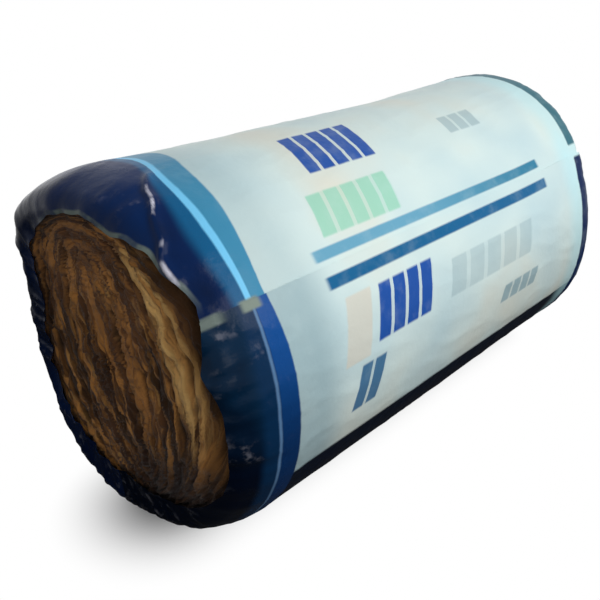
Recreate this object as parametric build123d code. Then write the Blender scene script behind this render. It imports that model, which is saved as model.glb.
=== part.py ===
"""A roll of mineral wool insulation in its plastic film sleeve, lying on its side.

The blanket is wound up under pressure into one roll. The film goes once round it, laps over itself
in a seam along the roll, and is drawn in over both ends, where an opening leaves the wool bare.

Frame: X runs along the roll, -X is the end with the wide blue band, Z is up. The origin is on the
floor under the middle of the roll. Sizes are in millimetres.
"""

import os
from math import cos, degrees, radians, sin

from build123d import *

# The roll
ROLL_LENGTH = 1140.0  # the blanket's width, a usual one for loft rolls
ROLL_DIAMETER = 660.0  # over the film
WOUND_LAYER = 40.0  # one turn of the blanket, pressed from about 150

# The film
FILM = 1.0  # stands for a film of about 0.1
SLACK = 0.3  # between film and wool
SEAM_LAP = 62.0  # how far the film laps over itself
SEAM_ANGLE = 36.0  # of the lap's free edge, above the horizontal, on the -Y side

# The shoulders where the film turns in over the ends. The near one starts with a long gentle bend.
NEAR_BEND_RADIUS = 190.0
NEAR_BEND_ANGLE = 30.0
NEAR_EDGE_RADIUS = 40.0
FAR_EDGE_RADIUS = 26.0
FACET_ANGLE = 22.5  # the film lies in narrow straight-sided rings, this far apart round a bend

# The openings in the film: radius by angle, from -Y towards +Z, for the near one
NEAR_OPENING = {
    0: 292, 22: 277, 40: 300, 62: 284, 90: 258, 116: 254, 140: 238, 165: 203,
    190: 195, 228: 216, 255: 212, 275: 205, 300: 235, 325: 282, 342: 298,
}
FAR_OPENING_RADIUS = 256.0

# The crease between two turns, seen on the wool's ends
CREASE_WIDTH = 4.0
CREASE_DEPTH = 7.0
EYE_RADIUS = 30.0  # where the innermost turn starts

RADIUS = ROLL_DIAMETER / 2
HALF = ROLL_LENGTH / 2
AXIS_HEIGHT = RADIUS

# How far the radius drops over each shoulder
NEAR_DROP = NEAR_BEND_RADIUS * (1 - cos(radians(NEAR_BEND_ANGLE)))
NEAR_DROP += NEAR_EDGE_RADIUS * cos(radians(NEAR_BEND_ANGLE))
FAR_DROP = FAR_EDGE_RADIUS


def bend_points(centre, radius, start, end):
    """Points round a bend in the section, from one angle to another."""
    steps = round(abs(end - start) / FACET_ANGLE)
    angles = [radians(start + (end - start) * step / steps) for step in range(steps + 1)]
    return [(centre.X + radius * cos(angle), centre.Y + radius * sin(angle)) for angle in angles]


def roll_section(inset):
    """Half the roll's long section, set in from the film's outside, with the roll's axis on X."""
    bend_start = 90 + NEAR_BEND_ANGLE
    near_edge = Vector(-HALF + NEAR_EDGE_RADIUS, RADIUS - NEAR_DROP)
    near_bend = near_edge - Vector(NEAR_BEND_RADIUS - NEAR_EDGE_RADIUS, 0).rotate(Axis.Z, bend_start)
    far_edge = Vector(HALF - FAR_EDGE_RADIUS, RADIUS - FAR_DROP)
    outline = bend_points(near_edge, NEAR_EDGE_RADIUS - inset, 180, bend_start)[:-1]
    outline += bend_points(near_bend, NEAR_BEND_RADIUS - inset, bend_start, 90)
    outline += bend_points(far_edge, FAR_EDGE_RADIUS - inset, 90, 0)
    with BuildSketch() as section:
        with BuildLine():
            Polyline((-HALF + inset, 0), *outline, (HALF - inset, 0), close=True)
        make_face()
    return section.sketch


def roll_solid(inset):
    """The whole roll as a solid of revolution, turned from the line where it meets the floor."""
    return Rot(X=-90) * revolve(roll_section(inset), Axis.X)


def seam_lap():
    """The second layer of film along the seam, on the outside of the first."""
    lap_angle = degrees(SEAM_LAP / RADIUS)
    # A section at +Y turns about X towards +Z, so -Y plus an angle upwards is 180 less that angle
    layer = revolve(roll_section(-FILM), Axis.X, revolution_arc=lap_angle)
    layer = Rot(X=180 - SEAM_ANGLE) * layer
    layer = layer & Box(ROLL_LENGTH, 2 * ROLL_DIAMETER, 2 * ROLL_DIAMETER)
    return layer - roll_solid(0)


def near_opening():
    """The film's free edge on the near end, as a prism along the roll."""
    points = [
        (radius * cos(radians(angle)), radius * sin(radians(angle)))
        for angle, radius in NEAR_OPENING.items()
    ]
    end = Plane((-HALF, 0, 0), x_dir=(0, -1, 0), z_dir=(-1, 0, 0))
    with BuildSketch(end) as outline:
        with BuildLine():
            Spline(*points, periodic=True)
        make_face()
    return extrude(outline.sketch, NEAR_BEND_RADIUS, both=True)


def film_sleeve():
    """The film: a thin tube with its seam, drawn in over the ends."""
    tube = roll_solid(0) - roll_solid(FILM)
    far_opening = Pos(X=HALF) * Rot(Y=90) * Cylinder(FAR_OPENING_RADIUS, 2 * FAR_EDGE_RADIUS)
    return tube + seam_lap() - near_opening() - far_opening


def turns_crease(largest):
    """The line between the turns: half rings about two centres, half a layer apart."""
    crease = Sketch()
    radius = EYE_RADIUS
    side = 1
    while radius < largest:
        ring = Circle(radius + CREASE_WIDTH / 2) - Circle(radius - CREASE_WIDTH / 2)
        half_plane = Pos(Y=side * ROLL_DIAMETER / 2) * Rectangle(2 * ROLL_DIAMETER, ROLL_DIAMETER)
        centre = 0 if side > 0 else WOUND_LAYER / 2
        crease += Pos(X=centre) * (ring & half_plane)
        radius += WOUND_LAYER / 2
        side = -side
    return crease


def wool_roll():
    """The wound blanket, with its turns showing on both ends."""
    inset = FILM + SLACK
    wool = roll_solid(inset)
    for direction, drop in ((-1, NEAR_DROP), (1, FAR_DROP)):
        end = Plane((direction * (HALF - inset), 0, 0), x_dir=(0, 1, 0), z_dir=(-direction, 0, 0))
        crease = turns_crease(RADIUS - drop - WOUND_LAYER)
        wool -= extrude(end * crease, CREASE_DEPTH)
    return wool


def main():
    os.makedirs("parts", exist_ok=True)
    for name, piece in (("wool_roll", wool_roll()), ("film_sleeve", film_sleeve())):
        piece = Pos(Z=AXIS_HEIGHT) * piece
        export_step(piece, f"parts/{name}.step")
        print(name, "solids", len(piece.solids()), "volume", round(piece.volume))


main()
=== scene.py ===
"""A roll of mineral wool in its printed film sleeve, lying on a pale floor.

The film is a flat sheet, wrapped once round the roll, lapped in a seam and drawn in over both ends.
The wool is a turned roll whose end faces are worked into the uneven, fibrous turns of the blanket.
Lengths are in metres, and angles round the roll start at -Y and go up. A place along the roll is
counted from its near end, which is at -X.
"""

from math import radians

import bpy
import numpy as np
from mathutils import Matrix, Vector, noise


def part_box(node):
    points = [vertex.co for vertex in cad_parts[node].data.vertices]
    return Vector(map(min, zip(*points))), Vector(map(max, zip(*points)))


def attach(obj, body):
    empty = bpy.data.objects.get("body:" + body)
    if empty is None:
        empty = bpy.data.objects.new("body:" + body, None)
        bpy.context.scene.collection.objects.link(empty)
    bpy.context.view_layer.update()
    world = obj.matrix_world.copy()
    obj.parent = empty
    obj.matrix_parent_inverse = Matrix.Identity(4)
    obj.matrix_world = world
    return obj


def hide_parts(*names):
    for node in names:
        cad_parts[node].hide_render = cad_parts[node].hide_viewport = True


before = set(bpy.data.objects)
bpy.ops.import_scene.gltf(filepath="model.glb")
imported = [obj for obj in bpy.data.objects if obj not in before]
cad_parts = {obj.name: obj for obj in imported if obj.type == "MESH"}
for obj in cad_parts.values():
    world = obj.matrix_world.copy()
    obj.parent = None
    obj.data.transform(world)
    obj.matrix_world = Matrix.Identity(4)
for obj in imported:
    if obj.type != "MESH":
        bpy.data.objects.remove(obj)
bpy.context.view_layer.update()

# The roll, from the frame
film_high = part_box("film_sleeve")[1]
HALF = film_high.x
RADIUS = film_high.z / 2
AXIS_HEIGHT = RADIUS

# The shoulders, where the film turns in over the ends
NEAR_BEND_RADIUS = 0.190
NEAR_BEND_ANGLE = radians(30)
NEAR_EDGE_RADIUS = 0.040
FAR_EDGE_RADIUS = 0.026
BEND_POINTS = 24
NEAR_DROP = NEAR_BEND_RADIUS * (1 - np.cos(NEAR_BEND_ANGLE))
NEAR_DROP += NEAR_EDGE_RADIUS * np.cos(NEAR_BEND_ANGLE)
NEAR_LENGTH = NEAR_BEND_RADIUS * np.sin(NEAR_BEND_ANGLE)
NEAR_LENGTH += NEAR_EDGE_RADIUS * (1 - np.sin(NEAR_BEND_ANGLE))

# The soft ends. Their shape grows from these places on X to the ends
NEAR_SOFT = -0.25
FAR_SOFT = 0.22
NEAR_RIM = {  # how far the near end's rim stands out from a circle, in millimetres by angle
    98: 0, 110: 9, 128: 13, 136: 8, 143: -4, 151: -22, 162: -34, 185: -43, 200: -33, 217: -20,
    227: -2, 246: 5, 257: 17, 268: 6, 278: 0,
}
RIM_START, RIM_FULL = 0.16, 0.31  # the radii between which that change grows
FAR_LEAN_HEIGHTS = (-1, -0.4, 0.0, 0.2, 0.45, 0.8, 1)  # in radii above the axis
FAR_LEAN = (-0.006, -0.012, -0.027, -0.037, -0.033, 0.014, 0.036)  # how far the far end leans out there
NEAR_TOP_LEAN = 0.026  # outwards, at the top of the near end's back
NEAR_FOOT_LEAN = 0.008  # inwards, at the foot of its front
NEAR_FOOT_RISE = 0.012
FAR_TOP_RISE = 0.013
TOP_SAG = 0.009

# The film
FILM = 0.001
FLOOR_GAP = 0.0003  # below the film
SEAM_ANGLE = 36.0  # of the lap's free edge, in degrees
SEAM_LAP = 0.062
SEAM_STEP = 0.0024  # how far the lap stands off the layer below
UNDER_LAP = 0.75  # the layer below lies this share of the step lower
NEAR_OPENING = {  # radius in millimetres by angle
    0: 292, 22: 277, 40: 300, 62: 284, 76: 268, 90: 276, 105: 268, 116: 258, 140: 238, 165: 203,
    190: 195, 228: 216, 255: 212, 275: 205, 300: 235, 325: 276, 342: 290,
}
FAR_OPENING = 0.256
FOLD = {  # of the flap over the opening: millimetres from the free edge by angle
    44: -4, 46: 0, 51: 6, 56: 13, 62: 27, 68: 48, 73: 74, 80: 104, 90: 150,
}
FOLD_HEIGHT = FOLD_WIDTH = 0.007
EDGE_CURL = 0.006
EDGE_CURL_WIDTH = 0.014
ROUND_STEPS = 320
COLLAR_ROWS, BODY_ROWS, FAR_ROWS = 58, 56, 24
FILM_ROWS = COLLAR_ROWS + BODY_ROWS + FAR_ROWS
COLLAR_END = 0.150  # along the roll, where the gathers have died out
FAR_START = 0.975
GATHER_START, GATHER_FULL = 0.125, 0.010
GATHER_HEIGHT = 0.0065
FAR_GATHER_START, FAR_GATHER_FULL = 1.07, 1.16
FAR_GATHER_HEIGHT = 0.004

# The near band of the print: where its navy ends, its pale line runs and it ends
BAND_NAVY, BAND_LINE, BAND_EDGE = 0.040, 0.068, 0.106
BAND_LINES = {  # the same three on the pulled film, in millimetres along by angle
    0: (40, 68, 106), 25: (42, 69, 104), 36: (50, 73, 98), 45: (46, 76, 105), 55: (41, 77, 117),
    65: (50, 82, 129), 75: (70, 91, 140), 85: (92, 110, 157), 95: (112, 132, 178), 105: (106, 128, 174),
    120: (80, 104, 146), 135: (54, 80, 120), 150: (42, 69, 107), 165: (40, 68, 106),
}

# The wool
WOUND_LAYER = 0.040
SPIN_STEPS = 240
NEAR_RINGS, SIDE_RINGS, FAR_RINGS = 108, 24, 64
WOOL_EYE = 0.004  # radius of the innermost ring
WOOL_INSET = 0.007  # of the hidden sides, below the film
FACE_MARGIN = 0.004  # between an end face's outermost ring and the bend of its edge
FACE_START, FACE_FULL = 0.030, 0.008  # from the end, where the relief of its face starts and is full
RELIEF_EDGE, RELIEF_FULL = 0.004, 0.035  # below the roll's outside, where the relief ends and is full
PRESSED = 0.16  # how flat the inner turns are pressed: 1 leaves them round
LEAN = radians(-18)  # of the pressed turns
WOOL_DOME = 0.012
DOME_BASE = 0.004  # how far the dome's edge lies in
NEAR_HOLLOW = 0.036  # on the near end's -Y side
HOLLOW_START, HOLLOW_FULL = -0.17, -0.26  # across the pressed turns, from their middle
FAR_DOME = 0.020
FAR_DOME_EDGE, FAR_DOME_FULL = FAR_OPENING - 0.015, 0.08

MILLIMETRES = 1000  # to a metre
EASE = (-6, -2, 2, 6)  # the shifts, in degrees, over which a table by angle is averaged


def smooth(value, start, end):
    """0 before start, 1 after end, and a smooth step between them."""
    share = np.clip((value - start) / (end - start), 0, 1)
    return share * share * (3 - 2 * share)


def rough(*coordinates):
    """Smooth noise from -1 to 1 at points given by their coordinates."""
    return np.array([noise.noise(Vector(point)) for point in zip(*coordinates)])


def ring_noise(turn, waves, level):
    """Noise round the roll. More waves make it finer, and each level has noise of its own."""
    return rough(waves * np.cos(turn), waves * np.sin(turn), 0 * turn + level)


def by_angle(table, angle):
    """A table's values in metres at angles in degrees, averaged to soften their kinks."""
    angles, values = list(table), list(table.values())
    total = sum(np.interp(angle + shift, angles, values, period=360) for shift in EASE)
    return total / (len(EASE) * MILLIMETRES)


def clear_selection():
    """Leaves nothing selected, in object mode."""
    if bpy.context.object and bpy.context.object.mode != "OBJECT":
        bpy.ops.object.mode_set(mode="OBJECT")
    bpy.ops.object.select_all(action="DESELECT")


def get_points(piece):
    """The piece's vertices as an array."""
    flat = np.empty(len(piece.data.vertices) * 3)
    piece.data.vertices.foreach_get("co", flat)
    return flat.reshape(-1, 3)


def set_points(piece, points):
    """Moves the piece's vertices to these places."""
    piece.data.vertices.foreach_set("co", np.ascontiguousarray(points).ravel())
    piece.data.update()


def mark_points(piece, marks):
    """Writes named values on the piece's vertices, for its material."""
    for name, values in marks.items():
        piece.data.attributes.new(name, "FLOAT", "POINT").data.foreach_set("value", values)


def settle(points):
    """The soft roll's own shape: its top sinks, its ends lean and its near rim is uneven."""
    x, y, z = points.T
    near, far = smooth(x, NEAR_SOFT, -HALF), smooth(x, FAR_SOFT, HALF)
    r = np.hypot(y, z - AXIS_HEIGHT)
    angle = np.degrees(np.arctan2(z - AXIS_HEIGHT, -y))
    stretch = 1 + near * smooth(r, RIM_START, RIM_FULL) * by_angle(NEAR_RIM, angle) / r
    y, z = y * stretch, AXIS_HEIGHT + (z - AXIS_HEIGHT) * stretch

    up, back = (z - AXIS_HEIGHT) / RADIUS, y / RADIUS
    top_back = smooth(0.5 * back + 0.86 * up, 0.5, 1.0)
    foot_front = smooth(-0.8 * up - 0.6 * back, 0.5, 1.0)
    lean = far * np.interp(up, FAR_LEAN_HEIGHTS, FAR_LEAN)
    lean += near * (NEAR_FOOT_LEAN * foot_front - NEAR_TOP_LEAN * top_back)
    rise = smooth(up, 0.0, 1.0) * (FAR_TOP_RISE * far - TOP_SAG)
    rise += NEAR_FOOT_RISE * near * smooth(up, -0.6, -1.0)
    return np.column_stack([x + lean, y, z + rise])


# The film's long section, as distances along it from the middle of the near end


def bend(x, r, radius, angles):
    """Places, radii and normal angles round a bend of the section about a centre."""
    return [(x - radius * np.cos(a), r + radius * np.sin(a), a) for a in angles]


def film_profile():
    """Distance, place along the roll, radius and outward normal at points along the film's section."""
    meeting = np.pi / 2 - NEAR_BEND_ANGLE
    near_edge = np.linspace(0, meeting, BEND_POINTS)
    near_bend = np.linspace(meeting, np.pi / 2, BEND_POINTS)[1:]
    far_edge = np.linspace(np.pi / 2, np.pi, BEND_POINTS)
    rows = [(-HALF, 0.0, 0.0)]
    rows += bend(-HALF + NEAR_EDGE_RADIUS, RADIUS - NEAR_DROP, NEAR_EDGE_RADIUS, near_edge)
    rows += bend(-HALF + NEAR_LENGTH, RADIUS - NEAR_BEND_RADIUS, NEAR_BEND_RADIUS, near_bend)
    rows += bend(HALF - FAR_EDGE_RADIUS, RADIUS - FAR_EDGE_RADIUS, FAR_EDGE_RADIUS, far_edge)
    rows += [(HALF, 0.0, np.pi)]
    x, r, normal = np.array(rows).T
    distance = np.concatenate([[0], np.cumsum(np.hypot(np.diff(x), np.diff(r)))])
    return distance, x, r, normal


PROFILE = film_profile()
BODY_DISTANCE = np.interp(-HALF + NEAR_LENGTH, PROFILE[1], PROFILE[0])


def section_at(distance):
    """Place along the roll, radius and normal angle at a distance along the film."""
    return tuple(np.interp(distance, PROFILE[0], column) for column in PROFILE[1:])


def along_to_distance(along):
    """The distance along the film of a place on the straight part."""
    return BODY_DISTANCE + along - NEAR_LENGTH


def near_opening(angle):
    """Radius of the film's free edge on the near end, at an angle in degrees."""
    radii = np.array(list(NEAR_OPENING.values())) / MILLIMETRES
    radius = np.interp(angle, list(NEAR_OPENING), radii, period=360)
    turn = np.radians(angle)
    return radius + 0.005 * ring_noise(turn, 2.6, 3.1) + 0.004 * ring_noise(turn, 9, 7.7)


def free_edge_distance(radius):
    """Distance along the film of a radius on the near end or its edge."""
    rising = PROFILE[2][: len(PROFILE[2]) // 2]
    return np.interp(radius, rising, PROFILE[0][: len(rising)])


def sheet_distance(down, starts, ends):
    """Distance along the film at a share of the sheet's length, between its free edges."""
    collar_end, far_start = along_to_distance(COLLAR_END), along_to_distance(FAR_START)
    row = down * FILM_ROWS
    in_collar = starts + (collar_end - starts) * row / COLLAR_ROWS
    in_body = collar_end + (far_start - collar_end) * (row - COLLAR_ROWS) / BODY_ROWS
    at_far_end = far_start + (ends - far_start) * (row - COLLAR_ROWS - BODY_ROWS) / FAR_ROWS
    past_collar = np.where(row <= COLLAR_ROWS + BODY_ROWS, in_body, at_far_end)
    return np.where(row <= COLLAR_ROWS, in_collar, past_collar)


def band_place(angle, along):
    """Place along the near band's print, which is pulled back over the top of the flap."""
    columns = zip(*BAND_LINES.values())
    navy, line, edge = (by_angle(dict(zip(BAND_LINES, column)), angle) for column in columns)
    below_line = BAND_LINE + (along - line) / (line - navy) * (BAND_LINE - BAND_NAVY)
    above_line = BAND_LINE + (along - line) / (edge - line) * (BAND_EDGE - BAND_LINE)
    return np.where(along < line, below_line, above_line)


def gathers(turn, along):
    """Pleats where the film is drawn in over an end: sharp folds that wander, and come in groups."""
    turn = turn + 0.06 * ring_noise(turn, 3, 9 * along)
    group = smooth(ring_noise(turn, 1.8, 2.6), -0.35, 0.45)
    broad = 1 - 2 * np.abs(ring_noise(turn, 4, 5 * along + 1.3))
    sharp = 1 - 2 * np.abs(ring_noise(turn, 10, 8 * along + 5.9))
    fine = 1 - 2 * np.abs(ring_noise(turn, 24, 18 * along + 9.2))
    return 0.5 * broad + group * (0.45 * sharp ** 2 + 0.14 * fine)


def body_waves(turn, along):
    """Slack waves and slanting tension creases of the film on the straight part."""
    slack = ring_noise(turn, 2.2, 3.2 * along)
    slant = rough(6 * np.cos(turn) + 5 * along, 6 * np.sin(turn) + 5 * along, 3 * along + 4.4)
    crease = np.maximum(0, 1 - 6 * np.abs(slant)) ** 2
    ripple = ring_noise(turn, 14, 7 * along + 2.2)
    return 0.0016 * slack + 0.0011 * crease + 0.0005 * ripple


def flap_fold(angle, waver):
    """The fold's distance from the free edge and its strength, at an angle in degrees."""
    angle = angle % 360
    fold_at = np.interp(angle, list(FOLD), list(FOLD.values())) / MILLIMETRES + 0.003 * waver
    return fold_at, smooth(angle, 43, 47) * smooth(angle, 88, 76)


def map_print(film, angle, along):
    """Lays the print's map on the sheet: turns round the roll, and metres along it."""
    film.data.uv_layers.new(name="print")
    corner_points = np.empty(len(film.data.loops), dtype=np.int32)
    film.data.loops.foreach_get("vertex_index", corner_points)
    sheet_place = np.column_stack([angle / 360, along])[corner_points]
    film.data.uv_layers["print"].data.foreach_set("uv", sheet_place.ravel())
    film.data.uv_layers.remove(film.data.uv_layers[0])


def thicken(film):
    """Gives the sheet its thickness, inwards from its outside."""
    bpy.ops.object.mode_set(mode="EDIT")
    bpy.ops.mesh.select_all(action="SELECT")
    bpy.ops.mesh.normals_make_consistent(inside=False)
    bpy.ops.object.mode_set(mode="OBJECT")
    thickness = film.modifiers.new("film", "SOLIDIFY")
    thickness.thickness = FILM
    thickness.offset = -1
    bpy.ops.object.modifier_apply(modifier=thickness.name)
    bpy.ops.object.shade_smooth_by_angle(angle=radians(50))


def make_film():
    """The film: a flat sheet, wrapped round the roll from under the lap to the lap's free edge."""
    clear_selection()
    bpy.ops.mesh.primitive_grid_add(x_subdivisions=ROUND_STEPS, y_subdivisions=FILM_ROWS, size=1)
    film = bpy.context.object
    film.name = film.data.name = "film_sleeve_skin"
    flat = get_points(film)
    across, down = flat[:, 0] + 0.5, flat[:, 1] + 0.5

    lap = np.degrees(SEAM_LAP / RADIUS)
    wrapped = across * (360 + lap)
    angle = SEAM_ANGLE - lap + wrapped
    turn = np.radians(angle)
    starts = free_edge_distance(near_opening(angle))
    ends = PROFILE[0][-1] - FAR_OPENING - 0.008 * ring_noise(turn, 7, 1.7)
    distance = sheet_distance(down, starts, ends)
    along = distance - BODY_DISTANCE + NEAR_LENGTH
    from_edge = distance - starts

    gathered = smooth(along, GATHER_START, GATHER_FULL)
    drawn_far = smooth(along, FAR_GATHER_START, FAR_GATHER_FULL)
    pleats = gathers(turn, along)
    waver = ring_noise(turn, 8, 6.1)
    fold_at, folded = flap_fold(angle, waver)
    crest = folded * np.exp(-((from_edge - fold_at) / FOLD_WIDTH) ** 2)
    lift = GATHER_HEIGHT * gathered * (0.6 + pleats)
    lift += FAR_GATHER_HEIGHT * drawn_far * (0.5 + gathers(turn + 2, along))
    lift += body_waves(turn, along) * smooth(along, 0.02, 0.12)
    lift += EDGE_CURL * np.exp(-from_edge / EDGE_CURL_WIDTH) * np.maximum(0, 0.6 + waver)
    lift += FOLD_HEIGHT * crest
    lift += SEAM_STEP * (smooth(wrapped, 330, 360) - UNDER_LAP * smooth(wrapped, 40, 0))

    x, r, normal = section_at(distance)
    x = x - np.cos(normal) * lift
    r = r + np.sin(normal) * lift
    points = settle(np.column_stack([x, -r * np.cos(turn), AXIS_HEIGHT + r * np.sin(turn)]))
    points[:, 2] = np.maximum(points[:, 2], FLOOR_GAP)
    set_points(film, points)

    band = band_place(angle, along)
    flap = smooth(from_edge, fold_at + 0.004, fold_at - 0.004) * smooth(band, 0.050, 0.036)
    flap *= smooth(angle % 360, 46, 52) * smooth(angle % 360, 104, 90)
    # Pleat crests, on which the film's material paints highlights
    pleat = gathered * smooth(pleats, 0.45, 0.90)
    mark_points(film, {"from_edge": from_edge, "fold": crest, "flap": flap, "band": band, "pleat": pleat})
    map_print(film, angle, along)
    thicken(film)
    return film


def wool_section():
    """The wool's long section, from the middle of the near end to the middle of the far one."""
    near = np.linspace(WOOL_EYE, RADIUS - NEAR_DROP - FACE_MARGIN, NEAR_RINGS)
    far = np.linspace(RADIUS - FAR_EDGE_RADIUS - FACE_MARGIN, WOOL_EYE, FAR_RINGS)
    _, x, r, normal = PROFILE
    sides = (normal > 0) & (normal < np.pi)
    side_x = (x[sides] + np.cos(normal[sides]) * WOOL_INSET)[::2]
    side_r = (r[sides] - np.sin(normal[sides]) * WOOL_INSET)[::2]
    straight = np.linspace(-HALF + NEAR_LENGTH, HALF - FAR_EDGE_RADIUS, SIDE_RINGS)[1:-1]
    points = [(-HALF + WOOL_INSET, radius) for radius in near]
    points += [place for place in zip(side_x, side_r) if place[0] < straight[0]]
    points += [(place, RADIUS - WOOL_INSET) for place in straight]
    points += [place for place in zip(side_x, side_r) if place[0] > straight[-1]]
    points += [(HALF - WOOL_INSET, radius) for radius in far]
    return points


def pressed_radius(y, z):
    """How far out in the winding a point is. Inner turns are pressed into tall ovals, outer are round."""
    across = np.abs(y * np.cos(LEAN) + z * np.sin(LEAN))
    tall = np.abs(z * np.cos(LEAN) - y * np.sin(LEAN))
    full = RADIUS - NEAR_DROP
    inner, outer = np.zeros_like(y), np.full_like(y, 2 * full)
    halvings = 30
    for _ in range(halvings):
        half_width = (inner + outer) / 2
        half_height = full * (half_width / full) ** PRESSED
        outside = (across / half_width) ** 2 + (tall / half_height) ** 2 > 1
        inner, outer = np.where(outside, half_width, inner), np.where(outside, outer, half_width)
    return outer


def wool_relief(points):
    """How far each point of the ends stands out, how far out in the winding it is, and how hollow."""
    y, z = points[:, 1], points[:, 2] - AXIS_HEIGHT
    r = np.hypot(y, z)
    turn = np.arctan2(z, -y)
    c, s = np.cos(turn), np.sin(turn)
    wobble = 0.007 * ring_noise(turn, 1.6, 9 * r) + 0.007 * rough(25 * y, 14 * z, 0 * r + 3)
    wobble += 0.004 * rough(60 * y, 26 * z, 0 * r + 1.5)
    depth = pressed_radius(y, z) + wobble
    spiral = depth / WOUND_LAYER - turn / (2 * np.pi)
    in_turn = spiral % 1.0
    layer = np.floor(spiral)
    crease = np.exp(-(np.minimum(in_turn, 1 - in_turn) / 0.09) ** 2)
    crease *= 0.55 + 0.45 * rough(9 * y, 5 * z, 0 * r + 8.8)
    stand = rough(0.9 * c + 7.3 * layer, 0.9 * s, layer * 3.7)
    split = 1 - np.minimum(1, 3.2 * np.abs(rough(9 * c, 9 * z, 150 * depth)))
    fibre = rough(11 * c, 16 * z, 300 * depth)
    clump = rough(75 * y, 30 * z, 40 * depth)
    relief = 0.009 * stand - 0.012 * crease - 0.007 * split ** 2 + 0.003 * fibre + 0.006 * clump
    return relief, depth, crease + 0.6 * split


def spin_wool():
    """The wool's section, drawn point by point and turned round the roll's axis, with its ends closed."""
    clear_selection()
    section = wool_section()
    bpy.ops.mesh.primitive_plane_add(size=0.1)
    wool = bpy.context.object
    wool.name = wool.data.name = "wool_roll_body"
    bpy.ops.object.mode_set(mode="EDIT")
    bpy.ops.mesh.select_all(action="SELECT")
    bpy.ops.mesh.merge(type="CENTER")
    bpy.ops.transform.translate(value=(section[0][0], 0, AXIS_HEIGHT + section[0][1]))
    for last, place in zip(section, section[1:]):
        step = (place[0] - last[0], 0, place[1] - last[1])
        bpy.ops.mesh.extrude_vertices_move(TRANSFORM_OT_translate={"value": step})
    bpy.ops.mesh.select_all(action="SELECT")
    bpy.ops.mesh.spin(
        steps=SPIN_STEPS, angle=2 * np.pi, center=(0, 0, AXIS_HEIGHT), axis=(1, 0, 0), use_auto_merge=True
    )
    bpy.ops.mesh.select_all(action="SELECT")
    bpy.ops.mesh.remove_doubles(threshold=1e-6)
    bpy.ops.mesh.select_all(action="DESELECT")
    bpy.ops.mesh.select_mode(type="EDGE")
    bpy.ops.mesh.select_non_manifold(
        extend=False, use_wire=False, use_multi_face=False, use_non_contiguous=False
    )
    bpy.ops.mesh.fill(use_beauty=True)
    bpy.ops.mesh.select_all(action="SELECT")
    bpy.ops.mesh.normals_make_consistent(inside=False)
    bpy.ops.object.mode_set(mode="OBJECT")
    return wool


def make_wool():
    """The wound blanket: a turned roll, with its end faces worked into turns."""
    wool = spin_wool()
    points = get_points(wool)
    r = np.hypot(points[:, 1], points[:, 2] - AXIS_HEIGHT)
    relief, depth, hollow = wool_relief(points)
    near = smooth(points[:, 0], -HALF + FACE_START, -HALF + FACE_FULL)
    far = smooth(points[:, 0], HALF - FACE_START, HALF - FACE_FULL)
    aside = points[:, 1] * np.cos(LEAN) + (points[:, 2] - AXIS_HEIGHT) * np.sin(LEAN)
    dome = WOOL_DOME * (1 - (r / RADIUS) ** 2) - DOME_BASE
    dome -= NEAR_HOLLOW * near * smooth(aside, HOLLOW_START, HOLLOW_FULL)
    dome += FAR_DOME * far * smooth(r, FAR_DOME_EDGE, FAR_DOME_FULL)
    on_face = smooth(r, RADIUS - RELIEF_EDGE, RADIUS - RELIEF_FULL)
    points[:, 0] += (far - near) * (relief + dome) * on_face
    set_points(wool, settle(points))
    # The creases and splits, which the wool's material darkens as painted shade
    mark_points(wool, {"hollow": hollow, "depth": depth})
    bpy.ops.object.shade_smooth()
    return wool


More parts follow.
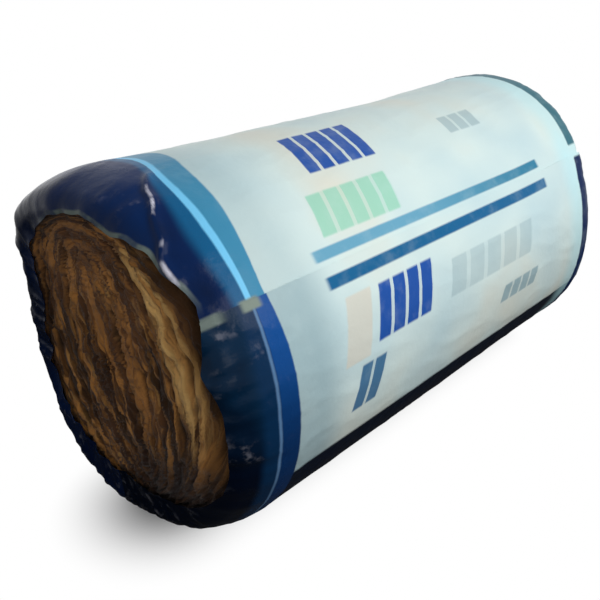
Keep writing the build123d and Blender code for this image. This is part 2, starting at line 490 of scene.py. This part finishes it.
class Nodes:
    """A material's nodes, added and linked by short calls."""

    def __init__(self, name):
        self.material = bpy.data.materials.new(name)
        self.material.use_nodes = True
        self.tree = self.material.node_tree
        self.shader = self.tree.nodes["Principled BSDF"]
        self.solid = self.add("ShaderNodeTexCoord").outputs["Object"]

    def add(self, kind, **settings):
        """A node of this kind, with these properties."""
        node = self.tree.nodes.new(kind)
        for name, value in settings.items():
            setattr(node, name, value)
        return node

    def feed(self, value, socket):
        """Sets a socket to a number or colour, or links an output to it."""
        if isinstance(value, bpy.types.NodeSocket):
            self.tree.links.new(value, socket)
        else:
            socket.default_value = value

    def mark(self, name):
        """A value that was written on the piece's vertices."""
        return self.add("ShaderNodeAttribute", attribute_name=name).outputs["Fac"]

    def split(self, vector):
        """A vector's three coordinates."""
        node = self.add("ShaderNodeSeparateXYZ")
        self.feed(vector, node.inputs[0])
        return node.outputs

    def math(self, operation, first, second=0.0):
        """A sum of this kind on one or two numbers."""
        node = self.add("ShaderNodeMath", operation=operation)
        self.feed(first, node.inputs[0])
        self.feed(second, node.inputs[1])
        return node.outputs[0]

    def times(self, first, second):
        """Two numbers multiplied."""
        return self.math("MULTIPLY", first, second)

    def vector(self, operation, first, second=(0, 0, 0)):
        """A sum of this kind on one or two vectors."""
        node = self.add("ShaderNodeVectorMath", operation=operation)
        self.feed(first, node.inputs[0])
        self.feed(second, node.inputs[1])
        return node.outputs["Value" if operation == "LENGTH" else "Vector"]

    def step(self, value, start, end):
        """A smooth step of the value, from 0 at start to 1 at end."""
        node = self.add("ShaderNodeMapRange", interpolation_type="SMOOTHSTEP")
        self.feed(value, node.inputs["Value"])
        node.inputs["From Min"].default_value = start
        node.inputs["From Max"].default_value = end
        return node.outputs[0]

    def window(self, value, low, high, blur):
        """1 between low and high, 0 outside, over a blurred edge."""
        rise = self.step(value, low - blur, low + blur)
        fall = self.step(value, high - blur, high + blur)
        return self.math("SUBTRACT", rise, fall)

    def mix(self, share, first, second):
        """A share of the second colour over the first."""
        node = self.add("ShaderNodeMix", data_type="RGBA")
        self.feed(share, node.inputs["Factor"])
        self.feed(first, node.inputs[6])
        self.feed(second, node.inputs[7])
        return node.outputs[2]

    def blend(self, share, first, second):
        """A share of the second surface over the first."""
        node = self.add("ShaderNodeMixShader")
        for value, socket in zip((share, first, second), node.inputs):
            self.feed(value, socket)
        return node.outputs[0]

    def noise(self, vector, scale, detail=3.0, roughness=0.55):
        """Noise from 0 to 1, at this scale."""
        node = self.add("ShaderNodeTexNoise")
        self.feed(vector, node.inputs["Vector"])
        node.inputs["Scale"].default_value = scale
        node.inputs["Detail"].default_value = detail
        node.inputs["Roughness"].default_value = roughness
        return node.outputs["Fac"]

    def ramp(self, value, stops):
        """A colour ramp with these stops of place and colour."""
        node = self.add("ShaderNodeValToRGB")
        self.feed(value, node.inputs["Fac"])
        points = node.color_ramp.elements
        while len(points) < len(stops):
            points.new(0.5)
        for point, (place, colour) in zip(points, stops):
            point.position = place
            point.color = colour
        return node.outputs["Color"]

    def bump(self, height, strength, distance):
        """Small unevenness of the surface."""
        node = self.add("ShaderNodeBump")
        node.inputs["Strength"].default_value = strength
        node.inputs["Distance"].default_value = distance
        self.feed(height, node.inputs["Height"])
        self.feed(node.outputs[0], self.shader.inputs["Normal"])


def ink(red, green, blue):
    """A colour written in screen values, as the linear colour that a socket takes."""
    return tuple(((value / 255 + 0.055) / 1.055) ** 2.4 for value in (red, green, blue)) + (1.0,)


# The film's colours
WHITE_FILM = ink(214, 232, 230)
COOL_FILM = ink(192, 218, 224)
WARM_FILM = ink(226, 226, 212)
GREY_FILM = ink(146, 174, 182)
# Painted highlight: the white of the glints on the fold and of the pleats' crests
GLINT_WHITE = ink(222, 222, 236)
NAVY = ink(5, 34, 80)
LOW_NAVY = ink(10, 42, 70)
# Dark navy: painted shade along the underside and at the foot of the near band, and the darker patches near
# the near end
SHADE_NAVY = ink(3, 14, 32)
FLAP_BLUE = ink(3, 38, 86)
TEAL = ink(66, 140, 176)
DEEP_TEAL = ink(22, 92, 138)
# Painted shade: the dark line along the far edge, above the seam
FAR_EDGE_SHADE = ink(62, 112, 126)
MID_BLUE = ink(20, 78, 148)
# Painted shade: the band's blue low down
LOW_BLUE_SHADE = ink(13, 50, 98)
INNER_BLUE = ink(12, 46, 80)
SKY_BLUE = ink(120, 204, 246)
# Painted shade: the pale line's colour below the seam
LINE_BLUE_SHADE = ink(92, 128, 168)
PALE_CYAN = ink(190, 236, 244)
# Pale tone of the seam's patches, and of the painted highlight along the opening's upper edge
PALE_TAB_AND_EDGE_HIGHLIGHT = ink(128, 142, 132)
STRIPE_LIGHT = ink(108, 168, 196)
STRIPE_TEAL = ink(54, 128, 160)
STRIPE_DARK = ink(28, 100, 148)
PANEL_BLUE = ink(36, 84, 166)
PANEL_GREEN = ink(156, 214, 190)
WARM_PANEL = ink(218, 206, 186)

# A dark strip painted along the underside as shade, and the print's panels of bars
UNDERSIDE_SHADE = (-66.0, -19.0)
PANELS = (  # place along, number and pitch of bars, lower and upper angle, tone, strength, strength in gaps
    (0.282, 5, 0.0368, 64.0, 83.5, PANEL_BLUE, 1.0, 0.15),
    (0.242, 5, 0.0420, 43.5, 57.0, PANEL_GREEN, 0.9, 0.45),
    (0.333, 4, 0.0393, 9.5, 25.5, PANEL_BLUE, 1.0, 0.15),
    (0.296, 2, 0.0350, -9.0, 5.0, STRIPE_DARK, 0.9, 0.15),
    (0.252, 1, 0.0720, 7.0, 26.0, WARM_PANEL, 0.6, 1.0),
    (0.545, 5, 0.0620, 10.0, 22.0, GREY_FILM, 0.45, 0.4),
    (0.755, 4, 0.0375, -4.0, 2.5, GREY_FILM, 0.9, 0.3),
    (0.700, 3, 0.0400, 63.0, 72.0, GREY_FILM, 0.6, 0.3),
)
PRINT_TWIST = 0.0015  # metres along for each degree round the roll

# The wool's colours
FIBRES = (
    (0.30, ink(52, 31, 12)), (0.45, ink(108, 71, 34)), (0.56, ink(158, 110, 56)), (0.70, ink(222, 168, 96)),
)
DARK_LAYER = ink(44, 24, 8)
TAN_LAYER = ink(224, 156, 82)
SOFT_TAN = ink(190, 132, 86)
DULL_BROWN = ink(88, 56, 38)
# Painted light: tones of the one lit turn of the wool
LIT_TURN = ink(214, 156, 88)
LIT_TURN_HIGHLIGHT = ink(255, 206, 130)
# Painted shade: the wool outside the lit turn
OUTER_TURN_SHADE = ink(74, 50, 26)
# Painted shade: the wool low down
LOW_WOOL_SHADE = ink(42, 21, 14)
# Painted shade: the wool's creases
CREASE_SHADE = ink(26, 15, 8)


class FilmNodes(Nodes):
    """The film's nodes, with the place on its print and the share that is below the seam."""

    def __init__(self, name):
        super().__init__(name)
        turn, self.along, _ = self.split(self.add("ShaderNodeUVMap", uv_map="print").outputs[0])
        # The turn counts up from under the lap, so the sides below the seam have more than three quarters
        over_lap = self.step(turn, 0.75, 0.7501)
        self.degrees = self.math("SUBTRACT", self.times(turn, 360.0), self.times(over_lap, 360.0))
        self.below = self.step(self.degrees, SEAM_ANGLE + 0.2, SEAM_ANGLE - 0.2)


def bare_film(m):
    """Pale film with soft tints, greyer near its gathered end, with a dark navy strip of painted shade
    along the underside.
    """
    tint = m.noise(m.solid, 3.2, detail=2.0)
    colour = m.ramp(tint, [(0.30, COOL_FILM), (0.52, WHITE_FILM), (0.72, WARM_FILM)])
    grey = m.math("ADD", m.times(m.below, 0.40), 0.35)
    colour = m.mix(m.times(m.step(m.along, 0.24, 0.15), grey), colour, GREY_FILM)
    # Painted shade: a dark navy strip along the underside
    return m.mix(m.window(m.degrees, *UNDERSIDE_SHADE, 0.8), colour, SHADE_NAVY)


def near_band(m, colour):
    """The wide blue band on the near end, with its pale line, its navy and the dark flap, and painted shade
    on its lower side.
    """
    band = m.mark("band")
    # Painted shade: the band's blue darkens low down, and below the seam its pale line takes a darker copy
    # of its colour
    low = m.step(m.degrees, 30.0, -8.0)
    field = m.mix(m.below, TEAL, m.mix(low, MID_BLUE, LOW_BLUE_SHADE))
    inner_field = m.mix(m.below, DEEP_TEAL, INNER_BLUE)
    line_tone = m.mix(m.below, SKY_BLUE, LINE_BLUE_SHADE)
    upper_line = m.window(band, BAND_LINE - 0.0055, BAND_LINE + 0.0055, 0.002)
    lower_line = m.window(band, BAND_LINE - 0.0025, BAND_LINE + 0.0025, 0.002)
    # Painted shade: below the seam the navy darkens towards the bottom
    navy_low_shade = m.mix(m.step(m.degrees, 12.0, -14.0), LOW_NAVY, SHADE_NAVY)
    navy = m.mix(m.below, NAVY, navy_low_shade)
    colour = m.mix(m.step(band, BAND_EDGE + 0.002, BAND_EDGE - 0.002), colour, field)
    colour = m.mix(m.step(band, BAND_LINE + 0.006, BAND_LINE + 0.001), colour, inner_field)
    colour = m.mix(m.mix(m.below, upper_line, lower_line), colour, line_tone)
    colour = m.mix(m.step(band, BAND_NAVY + 0.010, BAND_NAVY - 0.008), colour, navy)
    shade = m.step(m.noise(m.solid, 7.0), 0.35, 0.65)
    shaded = m.times(m.step(m.along, 0.05, 0.02), shade)
    colour = m.mix(m.times(shaded, 0.7), colour, SHADE_NAVY)
    return m.mix(m.times(m.mark("flap"), 0.9), colour, FLAP_BLUE)


def seam_and_edges(m, colour):
    """Pale patches on the seam, a pale painted highlight along the opening's upper free edge, and painted
    glints on the folds and pleats.
    """
    seam = m.window(m.degrees, SEAM_ANGLE - 2.4, SEAM_ANGLE + 0.6, 0.5)
    flap_tab = m.times(m.window(m.along, -0.016, 0.026, 0.010), 0.7)
    tab = m.math("MAXIMUM", flap_tab, m.window(m.along, 0.056, 0.086, 0.005))
    colour = m.mix(m.times(seam, tab), colour, PALE_TAB_AND_EDGE_HIGHLIGHT)
    # Painted highlight: a pale, patchy line along the opening's upper free edge, where the edge would catch
    # the light
    edge_highlight = m.times(m.step(m.mark("from_edge"), 0.008, 0.004), m.window(m.degrees, 44.0, 112.0, 8.0))
    patchy = m.step(m.noise(m.solid, 30.0, detail=2.0), 0.36, 0.58)
    colour = m.mix(m.times(edge_highlight, m.math("ADD", m.times(patchy, 0.6), 0.2)), colour, PALE_TAB_AND_EDGE_HIGHLIGHT)
    # Painted highlights: white glints on the fold's crest
    crest = m.step(m.mark("fold"), 0.65, 1.0)
    fold_glint = m.times(crest, m.step(m.noise(m.solid, 27.0, detail=2.0), 0.47, 0.70))
    colour = m.mix(fold_glint, colour, GLINT_WHITE)
    # Painted highlights: pale streaks on the pleats' crests
    pleat_highlight = m.times(m.mark("pleat"), m.step(m.noise(m.solid, 60.0), 0.50, 0.74))
    return m.mix(m.times(pleat_highlight, 0.18), colour, GLINT_WHITE)


def far_end(m, colour):
    """A pale cyan field on the far end, then a dark line of painted shade on the edge that stops at the
    seam.
    """
    colour = m.mix(m.times(m.step(m.along, 1.00, 1.07), 0.6), colour, PALE_CYAN)
    # Painted shade: a dark line along the far edge
    line = m.window(m.along, 1.092, 1.126, 0.003)
    line = m.math("SUBTRACT", line, m.window(m.degrees, 35.0, 40.0, 0.6))
    return m.mix(m.math("MAXIMUM", line, 0.0), colour, m.mix(m.below, FAR_EDGE_SHADE, NAVY))


def stripes(m, colour):
    """Two stripes along the roll, one on each side of the seam."""
    length = m.window(m.along, 0.215, 0.932, 0.006)
    upper_tone = m.mix(m.step(m.along, 0.40, 0.93), STRIPE_LIGHT, STRIPE_TEAL)
    for middle, width, tone in ((39.3, 3.4, upper_tone), (31.3, 3.6, STRIPE_DARK)):
        across = m.window(m.degrees, middle - width / 2, middle + width / 2, 0.4)
        colour = m.mix(m.times(across, length), colour, tone)
    return colour


def colour_panels(m, colour):
    """Plain colour panels, split into bars by pale gaps. The print is a little twisted round the roll."""
    twist = m.times(m.math("SUBTRACT", m.degrees, 35.0), PRINT_TWIST)
    along = m.math("SUBTRACT", m.along, twist)
    for start, bars, pitch, low, high, tone, strength, gap in PANELS:
        end = start + (bars - 0.15) * pitch
        panel = m.times(m.window(along, start, end, 0.003), m.window(m.degrees, low, high, 0.5))
        bar = m.math("FRACT", m.math("DIVIDE", m.math("SUBTRACT", along, start), pitch))
        bar = m.times(m.math("MAXIMUM", m.step(bar, 0.82, 0.76), gap), strength)
        colour = m.mix(m.times(panel, bar), colour, tone)
    return colour


def film_finish():
    """Glossy printed film: pale, with blue bands on its ends, two long stripes and plain colour panels."""
    m = FilmNodes("printed_film_finish")
    colour = bare_film(m)
    for layer in (near_band, seam_and_edges, far_end, stripes, colour_panels):
        colour = layer(m, colour)
    wear = m.noise(m.solid, 26.0, detail=5.0)
    dull = m.times(m.step(wear, 0.45, 0.75), m.step(m.along, 0.10, 0.14))
    dull = m.times(dull, m.step(m.degrees, UNDERSIDE_SHADE[1], UNDERSIDE_SHADE[1] + 2.0))
    colour = m.mix(m.times(dull, 0.10), colour, WHITE_FILM)
    m.feed(colour, m.shader.inputs["Base Color"])

    slack = m.times(m.step(m.along, 0.03, 0.13), 0.14)
    gloss = m.math("ADD", m.math("ADD", m.times(wear, 0.2), 0.10), slack)
    m.feed(gloss, m.shader.inputs["Roughness"])
    m.shader.inputs["Specular IOR Level"].default_value = 0.06
    crumple = m.math("ADD", m.noise(m.solid, 18.0, detail=4.0), m.times(m.noise(m.solid, 70.0), 0.35))
    m.bump(crumple, strength=0.25, distance=0.006)
    return m.material


def wool_finish():
    """Brown wool: streaks along the turns, tan where the fibres stand out, painted shade in the creases, on
    the outer turn of the -Y side and low down, and painted light on one turn.
    """
    m = Nodes("mineral_wool_finish")
    depth = m.mark("depth")
    _, side, height = m.split(m.solid)
    streak = m.add("ShaderNodeCombineXYZ")
    for value, scale, socket in zip((side, height, depth), (12.0, 8.0, 130.0), streak.inputs):
        m.feed(m.times(value, scale), socket)
    streaks = m.noise(streak.outputs[0], 1.0, detail=6.0, roughness=0.6)
    broad_streaks = m.noise(m.vector("MULTIPLY", streak.outputs[0], (0.5, 0.4, 0.42)), 1.0, detail=2.0)

    colour = m.ramp(streaks, FIBRES)
    colour = m.mix(m.times(m.step(broad_streaks, 0.52, 0.40), 0.9), colour, DARK_LAYER)
    colour = m.mix(m.times(m.step(broad_streaks, 0.51, 0.61), 0.8), colour, TAN_LAYER)
    soft_patches = m.noise(m.solid, 6.0, detail=1.0)
    colour = m.mix(m.times(m.step(soft_patches, 0.50, 0.64), 0.25), colour, SOFT_TAN)
    patches = m.noise(m.solid, 9.0, detail=2.0)
    colour = m.mix(m.times(m.step(patches, 0.42, 0.68), 0.45), colour, DULL_BROWN)

    # One turn on the -Y side is painted pale as lit, and the wool outside it and low down is painted darker
    # as shade
    lit_turn_paint = m.times(m.window(depth, 0.172, 0.216, 0.012), m.step(side, -0.03, -0.08))
    lit_turn_paint = m.times(lit_turn_paint, m.step(height, 0.20, 0.34))
    lit_turn_paint = m.times(lit_turn_paint, m.step(streaks, 0.34, 0.50))
    pale = m.mix(m.step(broad_streaks, 0.40, 0.56), LIT_TURN, LIT_TURN_HIGHLIGHT)
    colour = m.mix(m.times(lit_turn_paint, 0.95), colour, pale)
    # Painted shade: the outer turns on the -Y side, beside the film's edge
    outer_turn_shade = m.times(m.step(depth, 0.218, 0.240), m.step(side, -0.05, -0.13))
    colour = m.mix(m.times(outer_turn_shade, 0.7), colour, OUTER_TURN_SHADE)
    # Painted shade: the wool darkens low down
    low_wool_shade = m.times(m.step(height, 0.26, 0.15), m.step(side, 0.02, -0.08))
    colour = m.mix(m.times(low_wool_shade, 0.88), colour, LOW_WOOL_SHADE)
    # Painted shade: the creases and splits between the turns
    colour = m.mix(m.times(m.step(m.mark("hollow"), 0.25, 1.0), 0.8), colour, CREASE_SHADE)
    m.feed(colour, m.shader.inputs["Base Color"])

    m.shader.inputs["Roughness"].default_value = 0.95
    m.shader.inputs["Specular IOR Level"].default_value = 0.15
    m.shader.inputs["Sheen Weight"].default_value = 0.15
    m.shader.inputs["Sheen Roughness"].default_value = 0.6
    fibres = m.math("ADD", streaks, m.times(m.noise(m.solid, 220.0, detail=4.0), 0.5))
    m.bump(fibres, strength=0.8, distance=0.004)
    return m.material


def floor_finish():
    """A pale floor: white to the camera, with the roll's shadow, and dark where it would light the roll."""
    m = Nodes("pale_floor_finish")
    m.tree.nodes.remove(m.shader)
    past_ends = m.vector("SUBTRACT", m.vector("ABSOLUTE", m.solid), (0.50, 0, 0))
    away = m.vector("LENGTH", m.vector("MAXIMUM", past_ends))
    path = m.add("ShaderNodeLightPath").outputs
    mirrored = m.math("MAXIMUM", path["Is Glossy Ray"], path["Is Transmission Ray"])
    mirrored = m.times(mirrored, m.step(away, 1.0, 2.5))
    seen = m.math("MAXIMUM", path["Is Camera Ray"], mirrored)
    unseen_floor = m.add("ShaderNodeBsdfDiffuse")
    unseen_floor.inputs["Color"].default_value = (0.06, 0.06, 0.06, 1)
    shadowed_floor = m.add("ShaderNodeBsdfDiffuse")
    shadowed_floor.inputs["Color"].default_value = (0.9, 0.9, 0.9, 1)
    white_floor = m.add("ShaderNodeEmission")
    shown = m.blend(m.step(away, 0.0, 0.22), shadowed_floor.outputs[0], white_floor.outputs[0])
    surface = m.blend(seen, unseen_floor.outputs[0], shown)
    m.feed(surface, m.tree.nodes["Material Output"].inputs["Surface"])
    return m.material


def make_floor():
    """The floor, which reaches far past the picture."""
    clear_selection()
    bpy.ops.mesh.primitive_plane_add(size=30)
    floor = bpy.context.object
    floor.name = floor.data.name = "pale_floor"
    floor.data.materials.append(floor_finish())


def make_world():
    """A soft grey surround that lights the roll, and is white to the camera and in reflections."""
    world = bpy.data.worlds.new("studio")
    bpy.context.scene.world = world
    world.use_nodes = True
    tree = world.node_tree
    background = tree.nodes["Background"]
    path = tree.nodes.new("ShaderNodeLightPath")
    level = tree.nodes.new("ShaderNodeMapRange")
    seen = path.outputs["Is Camera Ray"]
    for ray in ("Is Glossy Ray", "Is Transmission Ray"):
        either = tree.nodes.new("ShaderNodeMath")
        either.operation = "MAXIMUM"
        tree.links.new(seen, either.inputs[0])
        tree.links.new(path.outputs[ray], either.inputs[1])
        seen = either.outputs[0]
    tree.links.new(seen, level.inputs["Value"])
    level.inputs["To Min"].default_value = 0.20
    level.inputs["To Max"].default_value = 1.0
    tree.links.new(level.outputs[0], background.inputs["Strength"])
    background.inputs["Color"].default_value = (1, 1, 1, 1)


def add_lamp(name, place, aim, size, power, shows=True):
    """A square soft lamp, aimed at a point. Where it doesn't show, the film has no highlight of it."""
    clear_selection()
    bpy.ops.object.light_add(type="AREA", location=place)
    lamp = bpy.context.object
    lamp.name = lamp.data.name = name
    lamp.rotation_euler = (Vector(aim) - Vector(place)).to_track_quat("-Z", "Y").to_euler()
    lamp.data.size = size
    lamp.data.energy = power
    lamp.visible_glossy = shows


def make_camera(place, down, turn, lens, sensor):
    """A camera at a place, turned down from level and about the vertical from +Y, in degrees."""
    clear_selection()
    bpy.ops.object.camera_add(location=place, rotation=(radians(90 - down), 0, radians(turn)))
    camera = bpy.context.object
    camera.data.lens = lens
    camera.data.sensor_width = sensor
    camera.data.clip_start = 0.05
    bpy.context.scene.camera = camera


make_camera(place=(-1.090, -0.919, 0.953), down=26.33, turn=-46.71, lens=42.8, sensor=36)
wool = make_wool()
film = make_film()
wool.data.materials.append(wool_finish())
film.data.materials.append(film_finish())
for piece, node, slot in ((wool, "wool_roll", "mineral_wool"), (film, "film_sleeve", "printed_film")):
    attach(piece, "root")
    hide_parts(node)

make_floor()
make_world()
add_lamp("key_lamp", place=(0.3, -1.95, 2.05), aim=(0.1, 0, 0.33), size=1.6, power=50)
add_lamp("end_lamp", place=(-1.9, -2.2, 1.4), aim=(-0.5, 0, 0.33), size=1.0, power=11)
add_lamp("back_lamp", place=(0.6, 2.4, 1.0), aim=(0, 0, 0.33), size=1.5, power=18, shows=False)
bpy.context.scene.view_settings.view_transform = "Standard"
